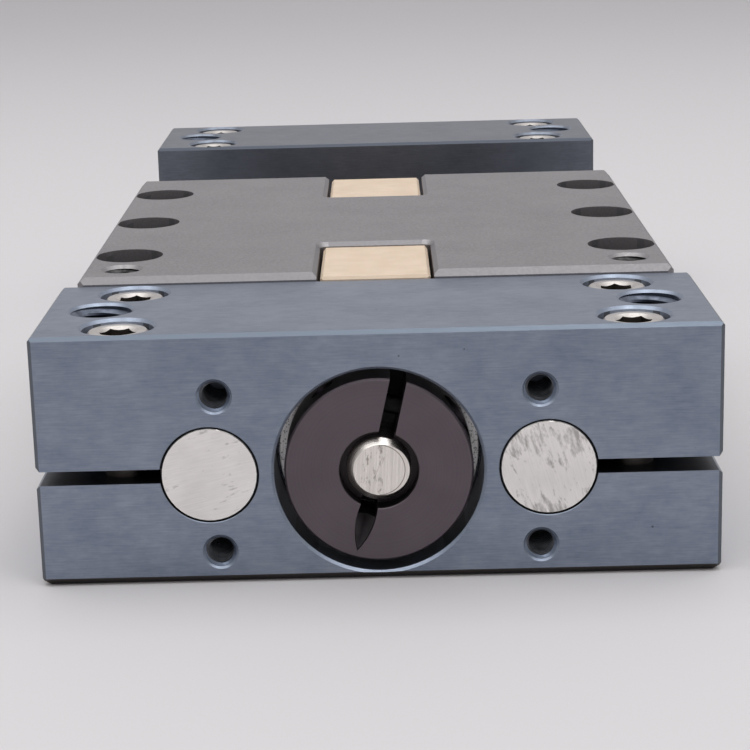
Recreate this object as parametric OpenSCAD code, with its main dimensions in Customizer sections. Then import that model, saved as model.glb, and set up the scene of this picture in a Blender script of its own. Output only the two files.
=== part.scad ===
// Linear translation stage: two clamp blocks, two guide rods, and a carriage driven by a lead screw.
// X runs across the stage, Y along the travel, Z up. The origin is at the middle of the underside.

/* [Stage] */
// Free travel of the carriage along the rods
travel = 45; // [20:1:150]
// Gap left between the carriage and an end block at each end of the travel
end_gap = 0.3; // [0.2:0.1:3]

/* [End blocks] */
// Width of an end block, across the rods
block_w = 85; // [83:0.5:110]
// Thickness of an end block, along the rods
block_t = 30; // [29:0.5:45]
// Height of an end block
block_h = 32; // [31:0.5:45]
// Chamfer round the edges of an end block
block_chamfer = 0.5; // [0.2:0.1:1]
// Chamfer round the underside of an end block
block_foot_chamfer = 1; // [0.2:0.1:1.5]
// Height of the rod and screw axes above the underside
axis_z = 14.1; // [13.9:0.1:15.5]
// Height of the slit that lets each side of a block clamp its rod
slit_h = 1.8; // [1:0.1:3]

/* [Guide rods] */
// Diameter of a guide rod
rod_d = 12; // [10:0.5:12.5]
// Distance between the two rod axes
rod_spacing = 42; // [41:0.5:48]
// Chamfer on the ends of a rod
rod_chamfer = 0.15; // [0.1:0.05:1]

/* [Clamp screws] */
// Distance of the clamp screws from the rod axis, outwards
clamp_offset = 11; // [10.5:0.1:12]
// Distance between the two clamp screws of one rod, along the rod
clamp_pitch = 19.2; // [18:0.1:20]
// Thread diameter of a clamp screw
clamp_d = 5; // [4:0.5:5.5]
// Length of a clamp screw below its head
clamp_l = 20; // [16:1:21]
// Head diameter of a clamp screw
clamp_head_d = 8.5; // [7.5:0.1:9]
// Head height of a clamp screw
clamp_head_h = 5; // [4:0.1:5.4]
// Width across the flats of the hexagon socket in a clamp screw
clamp_hex = 4; // [3:0.5:5]
// Diameter of the counterbore that holds a clamp screw's head
clamp_bore_d = 9; // [8.9:0.1:9.8]
// Depth of that counterbore
clamp_bore_h = 5.5; // [5.2:0.1:7]

/* [Tapped holes] */
// Thread diameter of the tapped holes down through an end block
lift_d = 8; // [5:0.5:8]
// Distance of those holes from the rod axis, outwards
lift_offset = 14.2; // [13.5:0.1:15]
// Thread diameter of the tapped holes for the motor bracket
motor_d = 4; // [3:0.5:5]
// Depth of the motor bracket holes
motor_hole_h = 10; // [6:0.5:14]
// Distance across between the motor bracket holes
motor_dx = 40; // [38:0.5:42]
// Distance up between the motor bracket holes
motor_dz = 20; // [18:0.5:21]

/* [Carriage] */
// Width of the carriage
carriage_w = 81; // [80.5:0.5:105]
// Length of the carriage along the travel
carriage_l = 83; // [78:0.5:130]
// Height of the carriage
carriage_h = 32; // [30:0.5:42]
// Height of the carriage's underside above the underside of the blocks
carriage_lift = 1; // [0.5:0.1:1.5]
// Chamfer round the edges of the carriage
carriage_chamfer = 0.9; // [0.3:0.1:1.2]
// Distance across between the two rows of counterbored holes
plate_dx = 70; // [69.5:0.1:71]
// Distance between neighbouring counterbored holes in a row
plate_dy = 26; // [20:0.5:27]
// Counterbore diameter of those holes
plate_bore_d = 9.5; // [8:0.1:9.8]
// Counterbore depth of those holes
plate_bore_h = 6; // [3:0.1:6.4]
// Through diameter of those holes
plate_hole_d = 5.5; // [4.5:0.1:5.8]
// Thread diameter of the two tapped holes near the front edge
front_d = 5; // [3:0.5:5]
// Depth of those tapped holes
front_hole_h = 10; // [6:0.5:14]
// Distance of those tapped holes from the front face
front_hole_y = 6; // [5:0.1:7]

/* [Nut blocks] */
// Width of a nut block
nut_w = 15; // [13.5:0.1:15.4]
// Length of a nut block along the screw
nut_l = 21.2; // [15:0.1:24]
// Depth of a nut block's top below the carriage's top
nut_recess = 0.6; // [0.2:0.1:3]
// Height of the pocket floor above the carriage's underside
pocket_floor = 4; // [3:0.1:4.5]
// Gap on each side of a nut block in its pocket
nut_gap = 0.5; // [0.2:0.1:0.7]
// Radius of the pocket's inner corners
pocket_corner_r = 1.2; // [0.5:0.1:3]
// Chamfer round the mouth of the pocket
pocket_chamfer = 0.6; // [0.1:0.1:1]
// Thread diameter of the screws that hold a nut block
nut_screw_d = 3; // [2:0.5:3.5]
// Length of those screws over all
nut_screw_l = 6.4; // [5.5:0.1:7]

/* [Linear bushings] */
// Outer diameter of a linear bushing
bushing_d = 21; // [20:0.1:22]
// Length of a linear bushing
bushing_l = 30; // [20:0.5:32]
// Depth of a bushing below the carriage's end face
bushing_inset = 2.5; // [1.5:0.1:5]
// Ball diameter in a bushing
bushing_ball_d = 2.4; // [1.8:0.1:2.8]

/* [Lead screw] */
// Outer diameter of the screw thread
screw_d = 10; // [9:0.1:10]
// Diameter of the screw's end inside the hub
screw_end_d = 8; // [6:0.1:8.5]
// Depth of the screw's end face below the front face
screw_end_recess = 0.5; // [0.1:0.1:2]
// Diameter of the collar behind the front bearings
collar_d = 13; // [12:0.1:16]
// Thickness of that collar
collar_t = 2; // [1:0.1:3]

/* [Hub] */
// Outer diameter of the split hub
hub_d = 23.5; // [21.5:0.1:24.5]
// Length of the split hub
hub_l = 8.5; // [7:0.1:8.8]
// Depth of the hub's face below the front face
hub_recess = 0.3; // [0:0.1:0.5]
// Width of the slot at the top of the hub
hub_slot_w = 2.1; // [1:0.1:2.5]
// Lean of the slot from upright
hub_slot_lean = 13; // [0:1:45]
// Lean of the pointed relief slit from the slot's line
relief_lean = 3; // [0:0.5:15]
// Greatest width of the relief slit
relief_w = 2.4; // [1.2:0.1:2.5]
// Distance of the relief slit's point from the hub's axis
relief_tip_r = 10.8; // [8:0.1:10.8]
// Thread diameter of the hub's clamp screw
hub_screw_d = 2.5; // [2:0.1:3]
// Length of the hub's clamp screw below its head
hub_screw_l = 10; // [7:0.5:11]
// Distance of that screw from the hub's axis
hub_screw_r = 7.6; // [7.2:0.1:7.8]

/* [Front bearings] */
// Bore of a front bearing
front_bore = 10; // [9:0.5:10]
// Outer diameter of a front bearing
front_od = 26; // [24.5:0.5:26]
// Width of a front bearing
front_w = 8; // [7:0.5:9]
// Depth of the front bearings below the front face
front_depth = 9.6; // [9.6:0.1:10.4]
// Balls in a front bearing
front_balls = 8; // [6:1:9]

/* [Rear bearing] */
// Bore of the rear bearing
rear_bore = 7; // [5:0.5:7.5]
// Outer diameter of the rear bearing
rear_od = 19; // [17:0.5:22]
// Width of the rear bearing
rear_w = 6; // [5:0.5:8]
// Depth of the rear bearing below the rear face
rear_depth = 6; // [4:0.5:12]
// Balls in the rear bearing
rear_balls = 7; // [5:1:7]

/* [Hidden] */
$fn = 64;

// Radial clearance of a seat that is pressed or clamped tight
seat_gap = 0.02;
// Radial clearance of a surface that slides or turns on another
run_gap = 0.05;
// Overshoot of a cutting shape past the face it leaves
over = 1;

stage_l = 2 * block_t + carriage_l + travel + 2 * end_gap;
front_y = -stage_l / 2;
rear_y = stage_l / 2;
carriage_y = front_y + block_t + end_gap;
carriage_top = carriage_lift + carriage_h;
rod_x = rod_spacing / 2;

// Ring proportions that the ball bearings share, as parts of the ball diameter
ball_part = 0.3;
land_part = 0.38;
ball_gap = 0.03;
bearing_shield_t = 0.4;
bearing_shield_inset = 0.2;
bearing_cage_t = 0.8;

// Retaining rings
ring_t = 1;
ring_slack = 0.1;
ring_groove_h = 0.5;
ring_w = 1.8;

pocket_w = nut_w + 2 * nut_gap;
pocket_l = nut_l + nut_gap - seat_gap;
pocket_z = carriage_lift + pocket_floor;
nut_top = carriage_top - nut_recess;
nut_bore_d = screw_d + 2 * run_gap;

sleeve_wall = 2;
seal_t = 1.5;
seal_recess = 0.3;
bushing_ball_rows = 4;
bushing_ball_count = 8;
front_bearings = 2;

hub_y = front_y + hub_recess;
bearing_y = front_y + front_depth;
bearing_pitch = front_w + seat_gap;
rear_bearing_y = rear_y - rear_depth - rear_w;
screw_tail = 2;

// A rectangle with its four corners cut off, around the middle of its width, from 0 up: the lower
// two by foot, the upper two by c
module cut_corner_rectangle(w, h, c, foot) {
    polygon([[-w / 2 + foot, 0], [w / 2 - foot, 0], [w / 2, foot], [w / 2, h - c],
        [w / 2 - c, h], [-w / 2 + c, h], [-w / 2, h - c], [-w / 2, foot]]);
}

// A bar with its edges chamfered by c, and by foot round its underside: w across X, from 0 to l
// along Y, from 0 to h along Z
module chamfered_bar(w, l, h, c, foot) {
    intersection() {
        translate([0, l, 0]) rotate([90, 0, 0]) linear_extrude(l) cut_corner_rectangle(w, h, c, foot);
        linear_extrude(h) cut_corner_rectangle(w, l, c, c);
        translate([-w / 2, 0, 0]) rotate([90, 0, 90])
            linear_extrude(w) translate([l / 2, 0]) cut_corner_rectangle(l, h, c, foot);
    }
}

// A cylinder along Y, from y to y + l
module bar_y(d, y, l, x = 0, z = axis_z) {
    translate([x, y, z]) rotate([-90, 0, 0]) cylinder(d = d, h = l);
}

// A turned shape whose profile is given as [radius, distance along Y]
module turned_y(y, x = 0, z = axis_z) {
    translate([x, y, z]) rotate([-90, 0, 0]) rotate_extrude() children();
}

// A ring along Y
module ring_y(outer_d, inner_d, y, l, x = 0, z = axis_z) {
    turned_y(y, x, z) translate([inner_d / 2, 0]) square([(outer_d - inner_d) / 2, l]);
}

// A drilled hole down from z with a chamfered mouth
module drilled_down(d, z, depth, mouth) {
    translate([0, 0, z - depth]) cylinder(d = d, h = depth + over);
    translate([0, 0, z - mouth]) cylinder(d1 = d, d2 = d + 2 * (mouth + over), h = mouth + over);
}

// A socket cap screw with its head's underside at z = 0 and its thread downwards; turn says where
// its hexagon came to rest
module cap_screw(d, l, head_d, head_h, hex, turn = 0) {
    edge = 0.08 * head_d;
    tip = 0.12 * d;
    sink_d = 1.35 * hex;
    sink_h = sink_d / 2 / tan(60);
    difference() {
        union() {
            translate([0, 0, -tip - seat_gap]) cylinder(d = d, h = tip + seat_gap);
            rotate_extrude() polygon([[0, -l], [d / 2 - tip, -l], [d / 2, tip - l], [d / 2, 0],
                [head_d / 2, 0], [head_d / 2, head_h - edge], [head_d / 2 - edge, head_h], [0, head_h]]);
        }
        translate([0, 0, head_h / 2])
            rotate([0, 0, turn]) cylinder(d = hex / cos(30), h = head_h, $fn = 6);
        translate([0, 0, head_h - sink_h]) cylinder(d1 = 0, d2 = 2 * sink_d, h = 2 * sink_h);
    }
}

// ---- End blocks ----

clamp_x = rod_x + clamp_offset;
lift_x = rod_x + lift_offset;
clamp_seat_z = block_h - clamp_bore_h;
clamp_tip_room = 2;
clamp_mouth = 0.4;
lift_mouth = 0.35;
motor_mouth = 0.25;
rod_bore_mouth = 0.2;
slit_mouth = 0.5;

// The body that both end blocks start from, with its front face at y = 0
module clamp_block() {
    difference() {
        chamfered_bar(block_w, block_t, block_h, block_chamfer, block_foot_chamfer);
        for (side = [-1, 1]) {
            translate([side * rod_x, block_t / 2, axis_z]) rod_bore();
            mirror([side < 0 ? 1 : 0, 0, 0]) clamp_slit();
            for (row = [-1, 1])
                translate([side * clamp_x, block_t / 2 + row * clamp_pitch / 2, 0]) clamp_screw_hole();
            translate([side * lift_x, block_t / 2, 0]) lift_hole();
        }
    }
}

// The bore for a rod, with both mouths chamfered, measured from its middle
module rod_bore() {
    for (turn = [-90, 90]) rotate([turn, 0, 0])
        drilled_down(rod_d + 2 * seat_gap, block_t / 2, block_t / 2 + over, rod_bore_mouth);
}

// The slit from the rod's axis out through the side of the block, with a chamfered mouth
module clamp_slit() {
    flare = slit_h / 2 + slit_mouth + over;
    translate([0, block_t + over, axis_z]) rotate([90, 0, 0]) linear_extrude(block_t + 2 * over)
        polygon([[rod_x, -slit_h / 2], [block_w / 2 - slit_mouth, -slit_h / 2],
            [block_w / 2 + over, -flare], [block_w / 2 + over, flare],
            [block_w / 2 - slit_mouth, slit_h / 2], [rod_x, slit_h / 2]]);
}

// Counterbore and clearance above the slit, tapped bore below it
module clamp_screw_hole() {
    drilled_down(clamp_bore_d, block_h, clamp_bore_h, clamp_mouth);
    translate([0, 0, axis_z]) cylinder(d = 1.1 * clamp_d, h = block_h - axis_z);
    translate([0, 0, clamp_seat_z - clamp_l - clamp_tip_room])
        cylinder(d = clamp_d + 2 * seat_gap, h = clamp_l);
}

// Tapped hole right through a block, with both mouths chamfered
module lift_hole() {
    drilled_down(lift_d, block_h, block_h + over, lift_mouth);
    translate([0, 0, -over])
        cylinder(d1 = lift_d + 2 * (lift_mouth + over), d2 = lift_d, h = lift_mouth + over);
}

front_shoulder_h = 2.5;
front_shoulder_d = front_od - 2 * front_shoulder_h;
front_bore_mouth = 0.35;

module front_block() {
    color([0.43, 0.46, 0.52]) translate([0, front_y, 0]) difference() {
        clamp_block();
        bar_y(front_od + 2 * seat_gap, -over, over + front_depth + front_bearings * bearing_pitch);
        bar_y(front_shoulder_d, 0, block_t + over);
        turned_y(-over) polygon([[0, 0], [front_od / 2 + front_bore_mouth + over, 0],
            [front_od / 2, over + front_bore_mouth], [0, over + front_bore_mouth]]);
        for (side = [-1, 1], level = [-1, 1])
            translate([side * motor_dx / 2, 0, axis_z + level * motor_dz / 2])
                rotate([90, 0, 0]) drilled_down(motor_d, 0, motor_hole_h, motor_mouth);
    }
}

rear_seat_h = rear_depth + rear_w;
rear_shoulder_h = 2;
screw_room = 1;
rear_clearance_d = min(screw_d + 2 * screw_room, rear_od - 2 * rear_shoulder_h);
rear_mouth = 0.4;

module rear_block() {
    color([0.43, 0.46, 0.52]) translate([0, rear_y - block_t, 0]) difference() {
        clamp_block();
        bar_y(rear_clearance_d, -over, block_t + over);
        bar_y(rear_od + 2 * seat_gap, block_t - rear_seat_h, rear_seat_h + over);
        bar_y(rear_od + 2 * ring_groove_h, block_t - rear_depth, ring_t + ring_slack);
        turned_y(block_t - rear_mouth) polygon([[0, 0], [rear_od / 2, 0],
            [rear_od / 2 + rear_mouth + over, rear_mouth + over], [0, rear_mouth + over]]);
    }
}

module clamp_screws(y) {
    color([0.78, 0.78, 0.76]) for (side = [-1, 1], row = [-1, 1])
        translate([side * clamp_x, y + block_t / 2 + row * clamp_pitch / 2, clamp_seat_z])
            cap_screw(clamp_d, clamp_l, clamp_head_d, clamp_head_h, clamp_hex, row > 0 ? 30 : 0);
}

module front_clamp_screws() {
    clamp_screws(front_y);
}

module rear_clamp_screws() {
    clamp_screws(rear_y - block_t);
}

// ---- Guide rods ----

module guide_rod(side) {
    color([0.8, 0.8, 0.78]) turned_y(front_y, side * rod_x)
        polygon([[0, 0], [rod_d / 2 - rod_chamfer, 0], [rod_d / 2, rod_chamfer],
            [rod_d / 2, stage_l - rod_chamfer], [rod_d / 2 - rod_chamfer, stage_l], [0, stage_l]]);
}

module guide_rod_left() {
    guide_rod(-1);
}

module guide_rod_right() {
    guide_rod(1);
}

// ---- Ball bearings ----

function pitch_r(bore, od) = (bore + od) / 4;
function ball_d(bore, od) = ball_part * (od - bore);
function land_r(bore, od, side) = pitch_r(bore, od) + side * land_part * ball_d(bore, od);

module race_groove(bore, od, w) {
    translate([pitch_r(bore, od), w / 2]) circle(r = ball_d(bore, od) / 2 + ball_gap);
}

module outer_ring(bore, od, w, y) {
    edge = 0.3;
    inner = land_r(bore, od, 1);
    turned_y(y) difference() {
        polygon([[inner, 0], [od / 2 - edge, 0], [od / 2, edge], [od / 2, w - edge],
            [od / 2 - edge, w], [inner, w]]);
        race_groove(bore, od, w);
    }
}

module inner_ring(bore, od, w, y) {
    edge = 0.3;
    outer = land_r(bore, od, -1);
    seat = bore / 2 + seat_gap;
    turned_y(y) difference() {
        polygon([[seat + edge, 0], [outer, 0], [outer, w], [seat + edge, w], [seat, w - edge], [seat, edge]]);
        race_groove(bore, od, w);
    }
}

// The two rubber-faced shields that close a bearing
module bearing_shields(bore, od, w, y) {
    outer_d = 2 * (land_r(bore, od, 1) - seat_gap);
    inner_d = 2 * (land_r(bore, od, -1) + 3 * run_gap);
    for (shield_y = [bearing_shield_inset, w - bearing_shield_inset - bearing_shield_t])
        ring_y(outer_d, inner_d, y + shield_y, bearing_shield_t);
}

module place_balls(bore, od, w, y, count) {
    for (k = [0 : count - 1])
        translate([0, y + w / 2, axis_z]) rotate([0, 360 * k / count, 0])
            translate([0, 0, pitch_r(bore, od)]) children();
}

module bearing_cage(bore, od, w, y, count) {
    mean_d = 2 * pitch_r(bore, od);
    cage_l = w - 2 * (bearing_shield_inset + bearing_shield_t + ring_slack);
    difference() {
        ring_y(mean_d + bearing_cage_t, mean_d - bearing_cage_t, y + (w - cage_l) / 2, cage_l);
        place_balls(bore, od, w, y, count) sphere(d = ball_d(bore, od) + 2 * run_gap);
    }
}

module bearing_balls(bore, od, w, y, count) {
    place_balls(bore, od, w, y, count) sphere(d = ball_d(bore, od) - 2 * ball_gap);
}

module front_bearing_outer_rings() {
    color([0.7, 0.7, 0.7]) for (k = [0 : front_bearings - 1])
        outer_ring(front_bore, front_od, front_w, bearing_y + k * bearing_pitch);
}

module front_bearing_inner_rings() {
    color([0.7, 0.7, 0.7]) for (k = [0 : front_bearings - 1])
        inner_ring(front_bore, front_od, front_w, bearing_y + k * bearing_pitch);
}

module front_bearing_shields() {
    color([0.12, 0.12, 0.12]) for (k = [0 : front_bearings - 1])
        bearing_shields(front_bore, front_od, front_w, bearing_y + k * bearing_pitch);
}

module front_bearing_cages() {
    color([0.6, 0.6, 0.6]) for (k = [0 : front_bearings - 1])
        bearing_cage(front_bore, front_od, front_w, bearing_y + k * bearing_pitch, front_balls);
}

module front_bearing_balls() {
    color([0.8, 0.8, 0.8]) for (k = [0 : front_bearings - 1])
        bearing_balls(front_bore, front_od, front_w, bearing_y + k * bearing_pitch, front_balls);
}

module rear_bearing_outer_ring() {
    color([0.7, 0.7, 0.7]) outer_ring(rear_bore, rear_od, rear_w, rear_bearing_y);
}

module rear_bearing_inner_ring() {
    color([0.7, 0.7, 0.7]) inner_ring(rear_bore, rear_od, rear_w, rear_bearing_y);
}

module rear_bearing_shields() {
    color([0.12, 0.12, 0.12]) bearing_shields(rear_bore, rear_od, rear_w, rear_bearing_y);
}

module rear_bearing_cage() {
    color([0.6, 0.6, 0.6]) bearing_cage(rear_bore, rear_od, rear_w, rear_bearing_y, rear_balls);
}

module rear_bearing_balls() {
    color([0.8, 0.8, 0.8]) bearing_balls(rear_bore, rear_od, rear_w, rear_bearing_y, rear_balls);
}

// ---- Retaining rings ----

// A ring for a groove in a bore, with its gap and its two eared ends at the bottom
module bore_ring(bore_d, y, x = 0) {
    ear_r = 1.1;
    outer_r = bore_d / 2 + ring_groove_h - seat_gap;
    ear_y = outer_r - ring_w - ear_r / 2;
    translate([x, y, axis_z]) rotate([-90, 0, 0]) linear_extrude(ring_t) difference() {
        union() {
            difference() {
                circle(r = outer_r);
                circle(r = outer_r - ring_w);
                translate([-ear_r, 0]) square([2 * ear_r, bore_d]);
            }
            for (side = [-1, 1]) translate([side * 2 * ear_r, ear_y]) circle(r = ear_r);
        }
        for (side = [-1, 1]) translate([side * 2 * ear_r, ear_y]) circle(r = ear_r / 2);
    }
}

shaft_ring_groove_h = 0.25;
shaft_ring_w = 1.5;

module rear_bearing_retainer() {
    color([0.25, 0.25, 0.26]) bore_ring(rear_od, rear_bearing_y + rear_w + ring_slack / 2);
}

module screw_retainer() {
    gap_w = 0.8 * rear_bore;
    inner_r = rear_bore / 2 - shaft_ring_groove_h + seat_gap;
    color([0.25, 0.25, 0.26]) translate([0, rear_bearing_y + rear_w + ring_slack / 2, axis_z])
        rotate([-90, 0, 0]) linear_extrude(ring_t) difference() {
            circle(r = inner_r + shaft_ring_w);
            circle(r = inner_r);
            translate([-gap_w / 2, 0]) square([gap_w, 2 * rear_bore]);
        }
}

// ---- Lead screw, hub and spacer ----

screw_end_chamfer = 0.75;
journal_chamfer = 0.3;

module lead_screw() {
    end_y = screw_end_recess;
    journal_y = front_depth;
    collar_end = journal_y + front_bearings * bearing_pitch + collar_t;
    rear_journal_y = stage_l - rear_depth - rear_w;
    ring_y0 = rear_journal_y + rear_w;
    tail_y = ring_y0 + ring_t + ring_slack + screw_tail;
    tail_r = rear_bore / 2;
    color([0.72, 0.72, 0.7]) turned_y(front_y) polygon([
        [0, end_y], [screw_end_d / 2 - screw_end_chamfer, end_y],
        [screw_end_d / 2, end_y + screw_end_chamfer], [screw_end_d / 2, journal_y],
        [front_bore / 2 - journal_chamfer, journal_y], [front_bore / 2, journal_y + journal_chamfer],
        [front_bore / 2, collar_end - collar_t], [collar_d / 2, collar_end - collar_t],
        [collar_d / 2, collar_end], [screw_d / 2, collar_end],
        [screw_d / 2, rear_journal_y], [tail_r, rear_journal_y],
        [tail_r, ring_y0], [tail_r - shaft_ring_groove_h, ring_y0],
        [tail_r - shaft_ring_groove_h, ring_y0 + ring_t + ring_slack],
        [tail_r, ring_y0 + ring_t + ring_slack], [tail_r, tail_y - journal_chamfer],
        [tail_r - journal_chamfer, tail_y], [0, tail_y]]);
}

hub_edge = 0.25;
hub_bore_r = screw_end_d / 2 + seat_gap;
hub_sink_r = hub_bore_r + 0.9;
hub_sink_h = 2.4;
hub_sink_edge = 0.12;
hub_screw_seat = 3.2;
hub_head_d = 1.8 * hub_screw_d;
hub_head_h = hub_screw_d;

// Outline of the relief slit: a leaf between two arcs, with one point out in the hub and the other
// inside the bore
module relief_outline() {
    widest_r = 0.78 * screw_end_d;
    reach = relief_tip_r - widest_r;
    arc_r = (reach * reach + relief_w * relief_w / 4) / relief_w;
    translate([0, widest_r]) intersection_for(side = [-1, 1])
        translate([side * (arc_r - relief_w / 2), 0]) circle(r = arc_r, $fn = 180);
}

module screw_hub() {
    color([0.29, 0.26, 0.28]) translate([0, hub_y, axis_z]) rotate([0, hub_slot_lean, 0]) difference() {
        turned_y(0, 0, 0) polygon([[hub_sink_r + hub_sink_edge, 0], [hub_d / 2 - hub_edge, 0],
            [hub_d / 2, hub_edge], [hub_d / 2, hub_l - hub_edge], [hub_d / 2 - hub_edge, hub_l],
            [hub_bore_r, hub_l], [hub_bore_r, hub_sink_h], [hub_sink_r, hub_sink_h],
            [hub_sink_r, hub_sink_edge]]);
        translate([-hub_slot_w / 2, -over, 0]) cube([hub_slot_w, hub_l + 2 * over, hub_d]);
        translate([0, -over, 0]) rotate([-90, relief_lean, 0])
            linear_extrude(hub_l + 2 * over) relief_outline();
        translate([0, hub_l / 2, hub_screw_r]) rotate([0, 90, 0]) {
            cylinder(d = 1.08 * hub_screw_d, h = hub_d);
            translate([0, 0, hub_screw_seat]) cylinder(d = hub_head_d + 4 * run_gap, h = hub_d);
            translate([0, 0, -hub_d]) cylinder(d = hub_screw_d + 2 * seat_gap, h = hub_d);
        }
    }
}

module hub_clamp_screw() {
    color([0.2, 0.2, 0.2]) translate([0, hub_y + hub_l / 2, axis_z]) rotate([0, hub_slot_lean, 0])
        translate([hub_screw_seat, 0, hub_screw_r]) rotate([0, 90, 0])
            cap_screw(hub_screw_d, hub_screw_l, hub_head_d, hub_head_h, 0.8 * hub_screw_d);
}

module hub_spacer() {
    color([0.2, 0.2, 0.2]) ring_y(2 * land_r(front_bore, front_od, -1) - 1, screw_end_d + 2 * seat_gap,
        hub_y + hub_l, bearing_y - hub_y - hub_l);
}

// ---- Carriage ----

bushing_bore_d = bushing_d + 2 * seat_gap;
bushing_shoulder_h = 2;
bushing_shoulder_d = bushing_d - 2 * bushing_shoulder_h;
front_hole_mouth = 0.45;
nut_screw_head_d = 1.85 * nut_screw_d;
nut_screw_dy = 0.55 * nut_l;
nut_screw_sink = 0.1;

// One end of the carriage: bushing bores with their ring grooves, and the nut pocket
module carriage_end_cuts() {
    for (side = [-1, 1]) {
        bar_y(bushing_bore_d, -over, over + bushing_inset + bushing_l, side * rod_x);
        bar_y(bushing_d + 2 * ring_groove_h, bushing_inset - ring_t - ring_slack,
            ring_t + ring_slack, side * rod_x);
    }
    translate([0, 0, pocket_z]) linear_extrude(carriage_h) pocket_outline(pocket_w, -over, pocket_l);
    pocket_mouth();
    nut_screw_places() translate([0, 0, carriage_lift]) {
        translate([0, 0, -over]) cylinder(d = nut_screw_d + 4 * run_gap, h = pocket_floor + 2 * over);
        translate([0, 0, -over]) cylinder(d = nut_screw_head_d + 4 * run_gap, h = over + nut_screw_sink);
        translate([0, 0, nut_screw_sink]) cylinder(d1 = nut_screw_head_d + 4 * run_gap,
            d2 = nut_screw_d + 4 * run_gap, h = (nut_screw_head_d - nut_screw_d) / 2);
    }
}

// A strip from y0 to y1 whose two corners at y1 are round
module pocket_outline(w, y0, y1) {
    r = pocket_corner_r;
    translate([-w / 2, y0]) square([w, y1 - r - y0]);
    translate([r - w / 2, y0]) square([w - 2 * r, y1 - y0]);
    for (side = [-1, 1]) translate([side * (w / 2 - r), y1 - r]) circle(r = r);
}

// The chamfer round a pocket: along both sides, along the inner end, and round its two corners
module pocket_mouth() {
    half_w = pocket_w / 2;
    inner_w = half_w - pocket_corner_r;
    inner_y = pocket_l - pocket_corner_r;
    low = carriage_top - pocket_chamfer;
    high = carriage_top + over;
    reach = pocket_chamfer + over;
    translate([0, inner_y, 0]) rotate([90, 0, 0]) linear_extrude(inner_y + over)
        polygon([[-half_w, low], [half_w, low], [half_w + reach, high], [-half_w - reach, high]]);
    translate([-inner_w, 0, 0]) rotate([90, 0, 90]) linear_extrude(2 * inner_w)
        polygon([[-over, low], [pocket_l, low], [pocket_l + reach, high], [-over, high]]);
    for (side = [-1, 1]) translate([side * inner_w, inner_y, 0])
        drilled_down(2 * pocket_corner_r, carriage_top, pocket_chamfer, pocket_chamfer);
}

// The two screws of a nut block, with the carriage's end face at y = 0
module nut_screw_places() {
    for (row = [-1, 1]) translate([0, nut_l / 2 + seat_gap + row * nut_screw_dy / 2, 0]) children();
}

// Repeats a shape at both ends of the carriage, each time measured from the end face inwards
module both_carriage_ends() {
    translate([0, carriage_y, 0]) children();
    translate([0, carriage_y + carriage_l, 0]) mirror([0, 1, 0]) children();
}

module carriage() {
    color([0.24, 0.24, 0.25]) difference() {
        translate([0, carriage_y, carriage_lift])
            chamfered_bar(carriage_w, carriage_l, carriage_h, carriage_chamfer, carriage_chamfer);
        both_carriage_ends() carriage_end_cuts();
        for (side = [-1, 1]) {
            bar_y(bushing_shoulder_d, carriage_y, carriage_l, side * rod_x);
            for (row = [-1, 0, 1])
                translate([side * plate_dx / 2, carriage_y + carriage_l / 2 + row * plate_dy, 0]) {
                    drilled_down(plate_bore_d, carriage_top, plate_bore_h, 0);
                    cylinder(d = plate_hole_d, h = carriage_top);
                }
            translate([side * plate_dx / 2, carriage_y + front_hole_y, 0])
                drilled_down(front_d, carriage_top, front_hole_h, front_hole_mouth);
        }
        bar_y(screw_d + 2 * screw_room, carriage_y, carriage_l);
    }
}

// ---- Nut blocks ----

nut_chamfer = 0.4;

module nut_block() {
    difference() {
        intersection() {
            translate([0, seat_gap, pocket_z])
                chamfered_bar(nut_w, nut_l, nut_top - pocket_z, nut_chamfer, nut_chamfer);
            linear_extrude(nut_top) pocket_outline(nut_w, 0, seat_gap + nut_l);
        }
        bar_y(nut_bore_d, -over, nut_l + 2 * over);
        nut_screw_places() translate([0, 0, carriage_lift]) cylinder(d = nut_screw_d + 2 * seat_gap,
            h = nut_screw_sink + nut_screw_l + over / 2);
    }
}

module nut_front() {
    color([0.89, 0.81, 0.73]) translate([0, carriage_y, 0]) nut_block();
}

module nut_rear() {
    color([0.89, 0.81, 0.73]) translate([0, carriage_y + carriage_l, 0]) mirror([0, 1, 0]) nut_block();
}

module nut_screws() {
    head_h = (nut_screw_head_d - nut_screw_d) / 2;
    color([0.3, 0.3, 0.3]) both_carriage_ends() nut_screw_places()
        translate([0, 0, carriage_lift + nut_screw_sink]) difference() {
            rotate_extrude() polygon([[0, 0], [nut_screw_head_d / 2, 0], [nut_screw_d / 2, head_h],
                [nut_screw_d / 2, nut_screw_l], [0, nut_screw_l]]);
            translate([0, 0, -over]) cylinder(d = 0.7 * nut_screw_d, h = head_h + over, $fn = 6);
        }
}

// ---- Linear bushings ----

sleeve_inner_d = bushing_d - 2 * sleeve_wall;
bushing_groove_h = 0.5;
bushing_groove_w = 1.3;
bushing_groove_y = 3.5;
bushing_cage_gap = 0.2;

module bushing(x, end) {
    outer_r = bushing_d / 2;
    mouth_r = outer_r - 0.6 * sleeve_wall;
    mouth_h = seal_t + seal_recess;
    y = end < 0 ? carriage_y + bushing_inset : carriage_y + carriage_l - bushing_inset - bushing_l;
    color([0.66, 0.66, 0.66]) turned_y(y, x) difference() {
        translate([sleeve_inner_d / 2, 0]) square([sleeve_wall, bushing_l]);
        for (groove_y = [bushing_groove_y, bushing_l - bushing_groove_y - bushing_groove_w])
            translate([outer_r - bushing_groove_h, groove_y]) square([over, bushing_groove_w]);
        for (mouth_y = [-over, bushing_l - mouth_h])
            translate([0, mouth_y]) square([mouth_r, mouth_h + over]);
    }
}

module bushing_front_left() {
    bushing(-rod_x, -1);
}

module bushing_front_right() {
    bushing(rod_x, -1);
}

module bushing_rear_left() {
    bushing(-rod_x, 1);
}

module bushing_rear_right() {
    bushing(rod_x, 1);
}

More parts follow.
